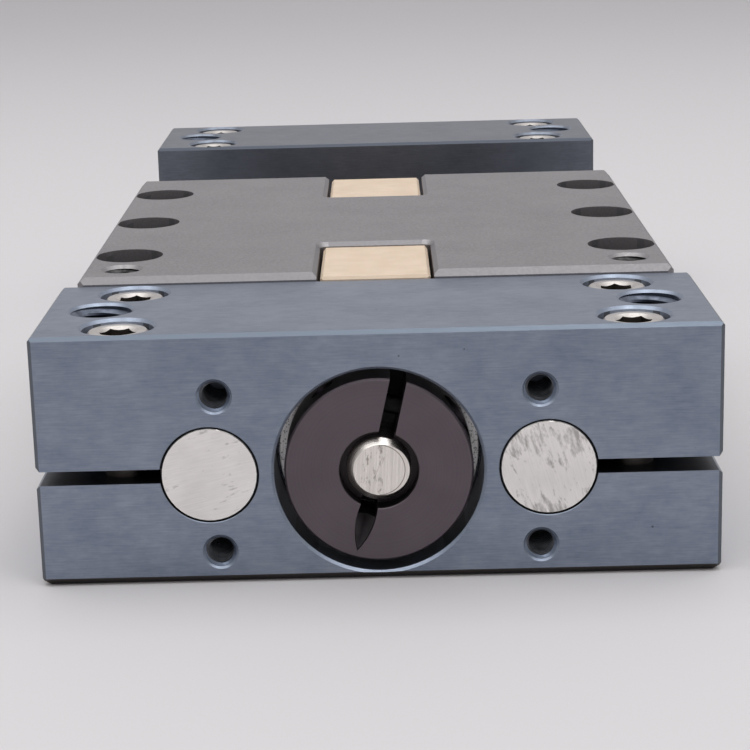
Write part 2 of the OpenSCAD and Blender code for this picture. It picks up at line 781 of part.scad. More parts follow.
// Repeats a shape in all four bushings, each time measured from the bushing's outer end inwards
module each_bushing() {
    both_carriage_ends() for (side = [-1, 1])
        translate([side * rod_x, bushing_inset, axis_z]) children();
}

bushing_inner_l = bushing_l - 2 * (seal_t + seal_recess);
bushing_ball_pitch = (bushing_inner_l - 2 * bushing_ball_d) / bushing_ball_count;
ball_row_r = (rod_d + bushing_ball_d) / 2 + ball_gap;

module each_bushing_ball() {
    first_y = (bushing_l - (bushing_ball_count - 1) * bushing_ball_pitch) / 2;
    for (row = [0 : bushing_ball_rows - 1], k = [0 : bushing_ball_count - 1])
        rotate([0, 45 + 360 * row / bushing_ball_rows, 0])
            translate([0, first_y + k * bushing_ball_pitch, ball_row_r]) children();
}

module bushing_cages() {
    slot_l = bushing_inner_l - 2 * bushing_ball_d + bushing_ball_d / 2;
    cage_d = sleeve_inner_d - 2 * bushing_cage_gap;
    color([0.2, 0.2, 0.2]) each_bushing() difference() {
        ring_y(cage_d, rod_d + 4 * bushing_cage_gap, seal_t + seal_recess, bushing_inner_l, 0, 0);
        for (row = [0 : bushing_ball_rows - 1]) rotate([0, 45 + 360 * row / bushing_ball_rows, 0])
            translate([-bushing_ball_d / 2 - run_gap, (bushing_l - slot_l) / 2, 0])
                cube([bushing_ball_d + 2 * run_gap, slot_l, bushing_d]);
    }
}

module bushing_balls() {
    color([0.8, 0.8, 0.8]) each_bushing() each_bushing_ball()
        sphere(d = bushing_ball_d - 2 * ball_gap, $fn = 24);
}

module bushing_seals() {
    seal_d = bushing_d - 1.2 * sleeve_wall - 2 * seat_gap;
    color([0.12, 0.12, 0.12]) each_bushing()
        for (seal_y = [seal_recess, bushing_l - seal_recess - seal_t])
            ring_y(seal_d, rod_d + 2 * run_gap, seal_y, seal_t, 0, 0);
}

module bushing_retainers() {
    color([0.25, 0.25, 0.26]) both_carriage_ends() for (side = [-1, 1])
        bore_ring(bushing_d, bushing_inset - ring_t - ring_slack / 2, side * rod_x);
}

front_block();
rear_block();
guide_rod_left();
guide_rod_right();
front_clamp_screws();
rear_clamp_screws();
front_bearing_outer_rings();
front_bearing_shields();
front_bearing_cages();
front_bearing_balls();
rear_bearing_outer_ring();
rear_bearing_shields();
rear_bearing_cage();
rear_bearing_balls();
rear_bearing_retainer();
carriage();
nut_front();
nut_rear();
nut_screws();
bushing_front_left();
bushing_front_right();
bushing_rear_left();
bushing_rear_right();
bushing_cages();
bushing_balls();
bushing_seals();
bushing_retainers();
lead_screw();
screw_hub();
hub_clamp_screw();
hub_spacer();
front_bearing_inner_rings();
rear_bearing_inner_ring();
screw_retainer();
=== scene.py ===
import math

import bmesh
import bpy
from mathutils import Matrix, Vector


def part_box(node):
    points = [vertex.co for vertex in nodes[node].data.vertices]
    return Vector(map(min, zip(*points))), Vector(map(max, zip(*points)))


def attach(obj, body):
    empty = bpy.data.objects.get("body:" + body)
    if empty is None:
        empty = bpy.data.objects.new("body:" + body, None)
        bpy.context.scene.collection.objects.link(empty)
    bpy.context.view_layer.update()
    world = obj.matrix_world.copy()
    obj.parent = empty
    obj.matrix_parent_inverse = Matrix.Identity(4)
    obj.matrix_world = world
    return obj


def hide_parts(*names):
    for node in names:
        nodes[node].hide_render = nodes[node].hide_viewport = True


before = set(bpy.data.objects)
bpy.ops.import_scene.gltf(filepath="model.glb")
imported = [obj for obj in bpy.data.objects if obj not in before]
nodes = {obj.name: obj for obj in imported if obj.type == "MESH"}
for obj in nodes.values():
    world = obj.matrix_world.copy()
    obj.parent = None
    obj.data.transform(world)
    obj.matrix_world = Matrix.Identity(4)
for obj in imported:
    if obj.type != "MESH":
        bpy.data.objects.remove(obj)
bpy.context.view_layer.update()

# ---- Studio ----
# The stage stands on a pale table top that runs on behind it, under one large soft box with two small
# lamps just below it. The room is an even grey, darker on the camera's side. The camera looks down
# along the travel from in front of the hub.

TABLE_RADIUS, TABLE_SIDES = 3.0, 96
TABLE_COLOUR = (0.66, 0.645, 0.655)
TABLE_FAR_COLOUR = (0.555, 0.54, 0.555)
TABLE_FADE = (0.10, 0.80)  # from where to where along Y
TABLE_ROUGHNESS = 0.75
ROOM_BACK, ROOM_FRONT = (0.64, 0.63, 0.64), (0.40, 0.395, 0.40)
ROOM_FADE = (-0.9, 0.2)  # in the Y of a direction
LAMP_AIM = (0, 0, 0)
LAMPS = {  # place, width and depth, power
    "overhead_soft_box": ((0.0, -0.15, 0.95), (1.7, 1.3), 7.6),
    "right_lamp": ((0.16, -0.29, 0.9), (0.12, 0.12), 0.35),
    "left_lamp": ((-0.39, -0.2, 0.9), (0.12, 0.12), 0.22),
}
CAMERA_PLACE = (0.0014, -0.3414, 0.0902)
CAMERA_LENS, CAMERA_SENSOR = 100.4, 36
CAMERA_CLIP = (0.01, 20)
CAMERA_PITCH, CAMERA_YAW, CAMERA_ROLL = -14.48, 0.37, 1.49  # degrees


def node(tree, kind, inputs=None, **settings):
    """Adds a node, sets its properties, and sets or links its inputs by name or number."""
    made = tree.nodes.new(kind)
    for key, value in settings.items():
        setattr(made, key, value)
    for key, value in (inputs or {}).items():
        if isinstance(value, bpy.types.NodeSocket):
            tree.links.new(value, made.inputs[key])
        else:
            made.inputs[key].default_value = value
    return made


def calc(tree, operation, *values):
    """The result socket of a Math node."""
    return node(tree, "ShaderNodeMath", dict(enumerate(values)), operation=operation).outputs[0]


def remap(tree, value, low, high, to_low=0.0, to_high=1.0, curve="LINEAR"):
    """The result socket of a clamped Map Range node."""
    inputs = {"Value": value, "From Min": low, "From Max": high, "To Min": to_low, "To Max": to_high}
    return node(tree, "ShaderNodeMapRange", inputs, interpolation_type=curve).outputs["Result"]


def mix(tree, factor, first, second):
    """The result socket of a colour Mix node; each colour is a socket or three numbers."""
    made = node(tree, "ShaderNodeMix", {"Factor": factor}, data_type="RGBA")
    for place, colour in ((6, first), (7, second)):
        if isinstance(colour, bpy.types.NodeSocket):
            tree.links.new(colour, made.inputs[place])
        else:
            made.inputs[place].default_value = (*colour, 1)
    return made.outputs[2]


def split(tree, vector):
    """The X, Y and Z sockets of a vector."""
    return node(tree, "ShaderNodeSeparateXYZ", {0: vector}).outputs


def stage_place(tree):
    """The socket of a point's place in the stage's own frame, in metres."""
    return node(tree, "ShaderNodeTexCoord").outputs["Object"]


def start_material(name):
    """A new material that holds only a Principled shader and its output."""
    made = bpy.data.materials.new(name)
    made.use_nodes = True
    return made, made.node_tree, made.node_tree.nodes["Principled BSDF"]


def table_top():
    """A round table top, which darkens a little into the distance."""
    material, tree, shader = start_material("table_top")
    fade = remap(tree, split(tree, stage_place(tree))["Y"], *TABLE_FADE, curve="SMOOTHSTEP")
    tree.links.new(mix(tree, fade, TABLE_COLOUR, TABLE_FAR_COLOUR), shader.inputs["Base Color"])
    shader.inputs["Roughness"].default_value = TABLE_ROUGHNESS
    mesh = bpy.data.meshes.new("table_top")
    shape = bmesh.new()
    bmesh.ops.create_circle(shape, cap_ends=True, radius=TABLE_RADIUS, segments=TABLE_SIDES)
    shape.to_mesh(mesh)
    shape.free()
    mesh.materials.append(material)
    table = bpy.data.objects.new("table_top", mesh)
    bpy.context.scene.collection.objects.link(table)


def lamp(name, place, size, power):
    """A rectangular lamp that looks at the middle of the stage."""
    light = bpy.data.lights.new(name, "AREA")
    light.shape = "RECTANGLE"
    light.size, light.size_y = size
    light.energy = power
    made = bpy.data.objects.new(name, light)
    made.location = place
    made.rotation_euler = (Vector(LAMP_AIM) - Vector(place)).to_track_quat("-Z", "Y").to_euler()
    bpy.context.scene.collection.objects.link(made)


def room_light():
    """The grey room, which lights the stage from all round and shows in its metal."""
    world = bpy.data.worlds.new("room")
    world.use_nodes = True
    bpy.context.scene.world = world
    tree = world.node_tree
    background = tree.nodes["Background"]
    direction = node(tree, "ShaderNodeTexCoord").outputs["Generated"]
    behind = remap(tree, split(tree, direction)["Y"], *ROOM_FADE, curve="SMOOTHSTEP")
    tree.links.new(mix(tree, behind, ROOM_FRONT, ROOM_BACK), background.inputs["Color"])
    background.inputs["Strength"].default_value = 1.0


def camera():
    """The camera, which looks along +Y, then is rolled, pitched down and turned a little."""
    lens = bpy.data.cameras.new("camera")
    lens.lens = CAMERA_LENS
    lens.sensor_width = CAMERA_SENSOR
    lens.clip_start, lens.clip_end = CAMERA_CLIP
    made = bpy.data.objects.new("camera", lens)
    turn = Matrix.Rotation(math.radians(CAMERA_YAW), 4, "Z")
    turn = turn @ Matrix.Rotation(math.radians(90 + CAMERA_PITCH), 4, "X")
    turn = turn @ Matrix.Rotation(math.radians(-CAMERA_ROLL), 4, "Z")
    made.matrix_world = Matrix.Translation(CAMERA_PLACE) @ turn
    bpy.context.scene.collection.objects.link(made)
    bpy.context.scene.camera = made


table_top()
room_light()
for name, (place, size, power) in LAMPS.items():
    lamp(name, place, size, power)
camera()
bpy.context.scene.view_settings.view_transform = "Standard"

# ---- End blocks ----
# Two blocks of aluminium, milled all over and anodised blue-grey, with every edge broken. Each is
# slit from the side into its rod bores, so that screws can close it on the rods.

MM_PER_M = 1000.0
ALONG_AXIS = 0.8  # the part of a normal along an axis, above which the face looks along it
STRAIGHT_CHAMFER = 0.001  # a straight chamfer looks along one axis no more than this
AXIS_Z = 0.0141
ROD_X, ROD_R = 0.021, 0.006
# The chamfer tones are painted shade. The rear block's tones are the same anodising, painted darker as
# shade.
BLOCK_TONES_AND_SHADE = {  # darkest, lightest, chamfers
    "front_block": ((0.188, 0.224, 0.294), (0.295, 0.330, 0.402), (0.145, 0.172, 0.212)),
    "rear_block": ((0.140, 0.155, 0.190), (0.205, 0.222, 0.264), (0.080, 0.090, 0.110)),
}
BLOCK_PIT = (0.05, 0.055, 0.07)
BLOCK_COUNTERSINK = (0.33, 0.38, 0.46)
# Painted shade: on upright chamfers, in the slit and the gaps round the rods, and on the foot chamfer.
BLOCK_UPRIGHT_CHAMFER_SHADE = (0.115, 0.128, 0.150)
BLOCK_GAP_SHADE = (0.014, 0.013, 0.013)
BLOCK_FOOT_SHADE = (0.085, 0.077, 0.072)
BLOCK_ROUGH, ANODISED_METAL = (0.42, 0.34), 0.95
FOOT_CHAMFER = 0.001
# How wide the painted shade round each rod is, and how far and how dark the painted shade in the slit
# reaches.
ROD_SHADE_RING = 0.00014
SLIT_REACH, SLIT_SHADE = 0.0015, 0.8
UPRIGHT_RISE, LEVEL_RISE = 0.1, (0.8, 0.9)  # how far a face looks up or down


def start_group(name, inputs, outputs):
    """A new shader node group; sockets are given as name: default."""
    tree = bpy.data.node_groups.new(name, "ShaderNodeTree")
    for label, default in inputs.items():
        socket = tree.interface.new_socket(label, in_out="INPUT", socket_type="NodeSocketFloat")
        socket.default_value = default
    for label in outputs:
        tree.interface.new_socket(label, in_out="OUTPUT", socket_type="NodeSocketFloat")
    return tree, tree.nodes.new("NodeGroupInput").outputs, tree.nodes.new("NodeGroupOutput").inputs


def place_group(tree, group, **inputs):
    """Puts a node group into a material, with its inputs given by name."""
    made = tree.nodes.new("ShaderNodeGroup")
    made.node_tree = group
    for key, value in inputs.items():
        made.inputs[key.replace("_", " ").capitalize()].default_value = value
    return made.outputs


def flat_normal(tree):
    """The socket of the way that a face looks, without its smoothing."""
    return node(tree, "ShaderNodeNewGeometry").outputs["True Normal"]


def noise(tree, vector, scale, detail, roughness=0.5):
    """The value socket of a Noise Texture node."""
    inputs = {"Vector": vector, "Scale": scale, "Detail": detail, "Roughness": roughness}
    return node(tree, "ShaderNodeTexNoise", inputs).outputs["Fac"]


def milled_lines_group():
    """Fine lines that run across the stage on most faces, and along it on the side faces."""
    tree, given, result = start_group("milled lines", {"Lines per mm": 6.0, "Length mm": 12.0}, ["Lines"])
    x, y, z = split(tree, stage_place(tree))
    side = calc(tree, "ABSOLUTE", split(tree, flat_normal(tree))["X"])
    side = calc(tree, "GREATER_THAN", side, ALONG_AXIS)
    across = calc(tree, "MULTIPLY", given["Lines per mm"], MM_PER_M)
    along = calc(tree, "DIVIDE", MM_PER_M, given["Length mm"])
    scale_x = node(tree, "ShaderNodeMix", {0: side, 2: along, 3: across}).outputs[0]
    scale_y = node(tree, "ShaderNodeMix", {0: side, 2: across, 3: along}).outputs[0]
    stretched = node(tree, "ShaderNodeCombineXYZ", {
        0: calc(tree, "MULTIPLY", x, scale_x),
        1: calc(tree, "MULTIPLY", y, scale_y),
        2: calc(tree, "MULTIPLY", z, across)}).outputs[0]
    lines = noise(tree, stretched, scale=1.0, detail=3.0, roughness=0.65)
    tree.links.new(remap(tree, lines, 0.25, 0.75), result["Lines"])
    return tree


def unsigned_parts(tree, vector):
    """The X, Y and Z sockets of a vector, with their signs dropped."""
    bare = node(tree, "ShaderNodeVectorMath", {0: vector}, operation="ABSOLUTE").outputs["Vector"]
    return split(tree, bare)


def broken_edge_group():
    """Mask is worn patches on faces that lie along no axis; Straight, the flat chamfers among them."""
    tree, given, result = start_group("broken edge", {"Wear": 0.5}, ["Mask", "Straight"])
    x, y, z = unsigned_parts(tree, flat_normal(tree))
    largest = calc(tree, "MAXIMUM", calc(tree, "MAXIMUM", x, y), z)
    tilted = calc(tree, "LESS_THAN", largest, ALONG_AXIS)
    x, y, z = unsigned_parts(tree, node(tree, "ShaderNodeNewGeometry").outputs["Normal"])
    smallest = calc(tree, "MINIMUM", calc(tree, "MINIMUM", x, y), z)
    patches = noise(tree, stage_place(tree), scale=700.0, detail=2.0)
    worn = remap(tree, patches, calc(tree, "SUBTRACT", 0.75, given["Wear"]), 0.8)
    flat = calc(tree, "LESS_THAN", smallest, STRAIGHT_CHAMFER)
    tree.links.new(calc(tree, "MULTIPLY", tilted, worn), result["Mask"])
    tree.links.new(calc(tree, "MULTIPLY", tilted, flat), result["Straight"])
    return tree


def specks_group():
    """Small scattered spots, such as pits in the surface or dust on it."""
    tree, given, result = start_group("specks", {"Cell mm": 2.0, "Size": 0.06, "Share": 0.3}, ["Mask"])
    scale = calc(tree, "DIVIDE", MM_PER_M, given["Cell mm"])
    cells = node(tree, "ShaderNodeTexVoronoi", {"Vector": stage_place(tree), "Scale": scale}).outputs
    red = node(tree, "ShaderNodeSeparateColor", {0: cells["Color"]}).outputs[0]
    chosen = calc(tree, "LESS_THAN", red, given["Share"])
    spot = remap(tree, cells["Distance"], given["Size"], calc(tree, "MULTIPLY", given["Size"], 0.5))
    tree.links.new(calc(tree, "MULTIPLY", chosen, spot), result["Mask"])
    return tree


def clouds_group():
    """Broad soft patches."""
    tree, given, result = start_group("clouds", {"Size mm": 20.0}, ["Value"])
    scale = calc(tree, "DIVIDE", MM_PER_M, given["Size mm"])
    clouds = noise(tree, stage_place(tree), scale, detail=4.0)
    tree.links.new(remap(tree, clouds, 0.3, 0.7), result["Value"])
    return tree


MILLED_LINES = milled_lines_group()
BROKEN_EDGE = broken_edge_group()
SPECKS = specks_group()
CLOUDS = clouds_group()


def weigh(tree, first, share, second, rest):
    """The result socket of first times share plus second times rest."""
    return calc(tree, "MULTIPLY_ADD", first, share, calc(tree, "MULTIPLY", second, rest))


def cover(tree, mask, strength, colour, over):
    """The colour with another over it, as thick as the mask times the strength."""
    return mix(tree, calc(tree, "MULTIPLY", mask, strength), colour, over)


def finish(tree, shader, colour, tone, rough, metallic):
    """Links the colour, and the roughness, which goes with tone from rough's first value to its last."""
    tree.links.new(colour, shader.inputs["Base Color"])
    tree.links.new(remap(tree, tone, 0, 1, *rough), shader.inputs["Roughness"])
    shader.inputs["Metallic"].default_value = metallic


def roughen(tree, shader, height, depth_mm, strength):
    """Bumps the shader's surface by a height from 0 to 1 that stands for depth_mm."""
    inputs = {"Height": height, "Strength": strength, "Distance": depth_mm / MM_PER_M}
    tree.links.new(node(tree, "ShaderNodeBump", inputs).outputs["Normal"], shader.inputs["Normal"])


def axis_distance(tree, axis_x, axis_z):
    """How far a point is from a line along Y, or from the nearer of two that stand left and right."""
    x, _, z = split(tree, stage_place(tree))
    away_x = calc(tree, "SUBTRACT", calc(tree, "ABSOLUTE", x), axis_x)
    away_z = calc(tree, "SUBTRACT", z, axis_z)
    squares = calc(tree, "MULTIPLY_ADD", away_x, away_x, calc(tree, "MULTIPLY", away_z, away_z))
    return calc(tree, "SQRT", squares)


def dress(material, *names):
    """Gives the CAD nodes of these names the material."""
    for name in names:
        nodes[name].data.materials.clear()
        nodes[name].data.materials.append(material)


def block_anodising(block, dark, light, chamfer_shade):
    """Brushed anodising with dark pits; the straight chamfers, the foot, the slit and a ring round each rod
    are painted dark as shade.
    """
    material, tree, shader = start_material("anodising_of_" + block)
    lines = place_group(tree, MILLED_LINES, lines_per_mm=6.0, length_mm=3.0)["Lines"]
    blotches = place_group(tree, MILLED_LINES, lines_per_mm=0.8, length_mm=2.0)["Lines"]
    clouds = place_group(tree, CLOUDS, size_mm=8.0)["Value"]
    tone = calc(tree, "MULTIPLY_ADD", blotches, 0.3, weigh(tree, lines, 0.4, clouds, 0.3))
    colour = mix(tree, remap(tree, tone, 0.2, 0.8), dark, light)
    pits = place_group(tree, SPECKS, cell_mm=2.6, size=0.07, share=0.2)["Mask"]
    colour = cover(tree, pits, 0.75, colour, BLOCK_PIT)
    edge = place_group(tree, BROKEN_EDGE, wear=0.6)
    colour = cover(tree, edge["Mask"], 0.7, colour, BLOCK_COUNTERSINK)
    rise = calc(tree, "ABSOLUTE", split(tree, flat_normal(tree))["Z"])
    corner = calc(tree, "LESS_THAN", rise, UPRIGHT_RISE)
    # Straight chamfers take the block's painted chamfer shade, and upright ones a darker painted shade.
    colour = mix(tree, edge["Straight"], colour, mix(tree, corner, chamfer_shade, BLOCK_UPRIGHT_CHAMFER_SHADE))
    height = split(tree, stage_place(tree))["Z"]
    # The foot chamfer is painted dark, as the shade under the block.
    foot = calc(tree, "MULTIPLY", edge["Straight"], calc(tree, "LESS_THAN", height, FOOT_CHAMFER))
    colour = mix(tree, foot, colour, BLOCK_FOOT_SHADE)
    # The slit's walls and a thin ring round each rod are painted dark, as shade in these gaps.
    rod_gap_shade = calc(tree, "LESS_THAN", axis_distance(tree, ROD_X, AXIS_Z), ROD_R + ROD_SHADE_RING)
    from_slit = calc(tree, "ABSOLUTE", calc(tree, "SUBTRACT", height, AXIS_Z))
    slit = calc(tree, "MULTIPLY", calc(tree, "LESS_THAN", from_slit, SLIT_REACH),
                remap(tree, rise, *LEVEL_RISE, 0, SLIT_SHADE))
    colour = mix(tree, calc(tree, "MAXIMUM", slit, rod_gap_shade), colour, BLOCK_GAP_SHADE)
    finish(tree, shader, colour, lines, BLOCK_ROUGH, ANODISED_METAL)
    roughen(tree, shader, lines, depth_mm=0.01, strength=0.5)
    return material


for block, (dark, light, chamfer_shade) in BLOCK_TONES_AND_SHADE.items():
    dress(block_anodising(block, dark, light, chamfer_shade), block)

# ---- Threads in the end blocks ----
# Each block has two M8 holes right through it for lifting screws, and the front one has four M4
# holes for a motor bracket. The threads are tapped after a countersink, and anodised with the block.

LIFT_THREAD = {"d": 0.008, "pitch": 0.00125, "mouth": 0.00035, "segments": 48}
MOTOR_THREAD = {"d": 0.004, "pitch": 0.0007, "mouth": 0.00025, "segments": 32}
LIFT_X = 0.0352
MOTOR_DX, MOTOR_DZ, MOTOR_DEPTH, MOTOR_MOUTH = 0.040, 0.020, 0.010, 0.00062
LIFT_TONES = ((0.09, 0.105, 0.135), (0.20, 0.225, 0.285))
# The motor threads are painted far darker than the block, as shade deep in their holes.
MOTOR_THREAD_SHADE_TONES = ((0.050, 0.053, 0.059), (0.120, 0.127, 0.139))
THREAD_ROUGH = (0.4, 0.26)
THREAD_HEIGHT = 0.61  # of the pitch, as on any metric thread
ROOT_PART, FLANK_PART, CREST_PART = 0.14, 0.30, 0.25  # of the pitch
THREAD_SKIN, THREAD_INSET = 0.00005, 0.00002  # how far the sleeve reaches into the wall, and out of it
SHARP_ANGLE = 30


def add_ring(shape, radius, height, segments):
    """A ring of new points round the Z axis."""
    turns = [2 * math.pi * i / segments for i in range(segments)]
    return [shape.verts.new((radius * math.cos(a), radius * math.sin(a), height)) for a in turns]


def join_rings(shape, rings):
    """Joins each ring of points to the next with faces."""
    for near, far in zip(rings, rings[1:]):
        for here in range(len(near)):
            after = (here + 1) % len(near)
            shape.faces.new((near[here], near[after], far[after], far[here]))


def add_thread(shape, length, pitch, starts, segments, profile, end_radii, trim=None):
    """Adds a threaded wall round Z from height 0 to length, and returns its two end rings.

    profile gives (part of the pitch, radius) for one turn, and trim changes the radius at a height.
    """
    shift = starts * len(profile)
    count = (math.ceil(length / pitch) + 2 * starts) * len(profile)
    made = {}

    def point(i, j):
        turn, part = divmod(j, len(profile))
        if i == segments:
            return point(0, min(j + shift, count))
        height = pitch * (turn + profile[part][0] + starts * i / segments - starts)
        radius = profile[part][1]
        key = (i, j)
        if height <= 0 or height >= length or j == count:
            top = height > 0
            key, height, radius = (i, "top" if top else "bottom"), length * top, end_radii[top]
        elif trim:
            radius = trim(radius, height)
        if key not in made:
            angle = 2 * math.pi * i / segments
            made[key] = shape.verts.new((radius * math.cos(angle), radius * math.sin(angle), height))
        return made[key]

    for i in range(segments):
        for j in range(count):
            corners = [point(i, j), point(i + 1, j), point(i + 1, j + 1), point(i, j + 1)]
            corners = list(dict.fromkeys(corners))
            if len(corners) > 2 and shape.faces.get(corners) is None:
                shape.faces.new(corners)
    return [[made[i, end] for i in range(segments)] for end in ("bottom", "top")]


def add_piece(name, shape, material, body):
    """Makes a riding piece from a finished shape."""
    bmesh.ops.recalc_face_normals(shape, faces=shape.faces)
    mesh = bpy.data.meshes.new(name)
    shape.to_mesh(mesh)
    shape.free()
    mesh.shade_smooth()
    mesh.set_sharp_from_angle(angle=math.radians(SHARP_ANGLE))
    mesh.materials.append(material)
    piece = bpy.data.objects.new(name, mesh)
    bpy.context.scene.collection.objects.link(piece)
    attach(piece, body)
    return piece


def tapped_thread(name, size, place, direction, depth, material, body, open_end=False):
    """The thread of a tapped hole: a thin sleeve let into the wall, starting below the countersink."""
    segments = size["segments"]
    wall = size["d"] / 2 - THREAD_INSET
    crest = size["d"] / 2 - THREAD_HEIGHT * size["pitch"]
    crest_start = ROOT_PART + FLANK_PART
    low = size["mouth"] if open_end else 0
    length = depth - size["mouth"] - low
    profile = [(0, wall), (ROOT_PART, wall), (crest_start, crest), (crest_start + CREST_PART, crest)]

    def countersunk(radius, height):
        from_end = min(length - height, height) if open_end else length - height
        return max(radius, wall - from_end)

    shape = bmesh.new()
    bottom, top = add_thread(shape, length, size["pitch"], 1, segments, profile, (wall, wall), countersunk)
    outer = [add_ring(shape, size["d"] / 2 + THREAD_SKIN, height, segments) for height in (0, length)]
    join_rings(shape, [bottom, outer[0], outer[1], top])
    start = Vector(place) - Vector(direction) * (depth - low)
    turn = Vector(direction).to_track_quat("Z", "Y").to_matrix().to_4x4()
    bmesh.ops.transform(shape, matrix=Matrix.Translation(start) @ turn, verts=shape.verts)
    add_piece(name, shape, material, body)


def thread_anodising(name, dark, light, mouth_y=None):
    """Anodising on tapped threads, clouded; in front of mouth_y it is as dark as on the block's face."""
    material, tree, shader = start_material(name)
    clouds = place_group(tree, CLOUDS, size_mm=1.2)["Value"]
    colour = mix(tree, clouds, dark, light)
    if mouth_y is not None:
        outside = calc(tree, "LESS_THAN", split(tree, stage_place(tree))["Y"], mouth_y)
        colour = mix(tree, outside, colour, BLOCK_TONES_AND_SHADE["front_block"][0])
    finish(tree, shader, colour, clouds, THREAD_ROUGH, ANODISED_METAL)
    roughen(tree, shader, clouds, depth_mm=0.01, strength=0.4)
    return material


front_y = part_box("front_block")[0][1]
LIFT_ANODISING = thread_anodising("lift_thread_anodising", *LIFT_TONES)
MOTOR_THREAD_SHADE = thread_anodising("motor_thread_painted_shade", *MOTOR_THREAD_SHADE_TONES, front_y + MOTOR_MOUTH)
for label in ("front", "rear"):
    low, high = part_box(label + "_block")
    middle_y = (low[1] + high[1]) / 2
    for side, hand in ((-1, "left"), (1, "right")):
        place = (side * LIFT_X, middle_y, high[2])
        tapped_thread(f"{label}_lift_thread_{hand}", LIFT_THREAD, place, (0, 0, 1), high[2] - low[2],
                      LIFT_ANODISING, "base", open_end=True)
for side, hand in ((-1, "left"), (1, "right")):
    for level, height in ((-1, "low"), (1, "high")):
        place = (side * MOTOR_DX / 2, front_y, AXIS_Z + level * MOTOR_DZ / 2)
        tapped_thread(f"motor_thread_{height}_{hand}", MOTOR_THREAD, place, (0, -1, 0), MOTOR_DEPTH,
                      MOTOR_THREAD_SHADE, "base")

# ---- Guide rods ----
# Two hardened steel rods, ground and polished along their length. The bar is sawn to length, so the
# ends show the saw's broken strokes, each rod's at its own slant, inside a thin chamfer painted dark as
# shade in the gap round the rod.

ROD_SIDE = ((0.52, 0.51, 0.50), (0.66, 0.65, 0.63))
ROD_END = ((0.78, 0.755, 0.735), (0.99, 0.965, 0.94))
ROD_SCORE = (0.36, 0.345, 0.33)
# Painted shade on the rod's end chamfer, for the dark gap between rod and bore.
ROD_CHAMFER_SHADE = (0.035, 0.028, 0.028)
ROD_ROUGH = (0.16, 0.42)  # on the side and on the end
SAW_MARKS = {  # slant in degrees, share of the face that is scored, how dark
    "guide_rod_left": (13, 0.24, 0.5),
    "guide_rod_right": (105, 0.44, 0.8),
}
SLANT_SPREAD = 4  # degrees between the fine strokes and the broad ones
BARE_METAL = 1.0


def end_face_group():
    """1 on faces that look along the rods, 0 on the rest."""
    tree, _, result = start_group("end face", {}, ["Mask"])
    along = calc(tree, "ABSOLUTE", split(tree, flat_normal(tree))["Y"])
    tree.links.new(calc(tree, "GREATER_THAN", along, ALONG_AXIS), result["Mask"])
    return tree


def strokes_group():
    """Straight parallel strokes across a face that looks along Y, at a slant from level."""
    inputs = {"Slant": 0.0, "Strokes per mm": 5.0, "Length mm": 8.0}
    tree, given, result = start_group("strokes", inputs, ["Strokes"])
    turned = node(tree, "ShaderNodeVectorRotate", {"Vector": stage_place(tree), "Angle": given["Slant"]},
                  rotation_type="Y_AXIS").outputs[0]
    x, _, z = split(tree, turned)
    across = calc(tree, "MULTIPLY", given["Strokes per mm"], MM_PER_M)
    along = calc(tree, "DIVIDE", MM_PER_M, given["Length mm"])
    stretched = node(tree, "ShaderNodeCombineXYZ", {
        0: calc(tree, "MULTIPLY", x, along),
        2: calc(tree, "MULTIPLY", z, across)}).outputs[0]
    strokes = noise(tree, stretched, scale=1.0, detail=3.0, roughness=0.7)
    tree.links.new(remap(tree, strokes, 0.28, 0.72), result["Strokes"])
    return tree


END_FACE = end_face_group()
STROKES = strokes_group()


def strokes_at(tree, slant, per_mm, length_mm):
    """The value socket of strokes at a slant in degrees."""
    made = place_group(tree, STROKES, slant=math.radians(slant), strokes_per_mm=per_mm, length_mm=length_mm)
    return made["Strokes"]


def ground_rod(name, slant, share, depth):
    """Polished steel with a sawn end, whose broad strokes are dark where the saw cut deepest."""
    material, tree, shader = start_material("ground_" + name)
    end = place_group(tree, END_FACE)["Mask"]
    fine = strokes_at(tree, slant, 5.0, 4.0)
    broad = strokes_at(tree, slant + SLANT_SPREAD, 1.3, 2.6)
    wear = place_group(tree, CLOUDS, size_mm=5.0)["Value"]
    sawn = mix(tree, weigh(tree, fine, 0.5, wear, 0.5), *ROD_END)
    kept = calc(tree, "MULTIPLY", broad, remap(tree, wear, 0.2, 0.8, 1.4, 0.6))
    scored = remap(tree, kept, share, share * 0.3)
    sawn = cover(tree, scored, depth, sawn, ROD_SCORE)
    colour = mix(tree, end, mix(tree, wear, *ROD_SIDE), sawn)
    rim = place_group(tree, BROKEN_EDGE, wear=0.75)["Mask"]
    # Worn patches on the end chamfer are painted dark, as shade in the gap round the rod.
    finish(tree, shader, mix(tree, rim, colour, ROD_CHAMFER_SHADE), end, ROD_ROUGH, BARE_METAL)
    roughen(tree, shader, calc(tree, "MULTIPLY", fine, end), depth_mm=0.012, strength=0.6)
    return material


for rod, (slant, share, depth) in SAW_MARKS.items():
    dress(ground_rod(rod, slant, share, depth), rod)

# ---- Lead screw ----
# A turned steel screw with a two-start trapezoidal thread, which moves the carriage 4 mm a turn. Its
# plain ends run in the ball bearings, and the hub clamps the front one.

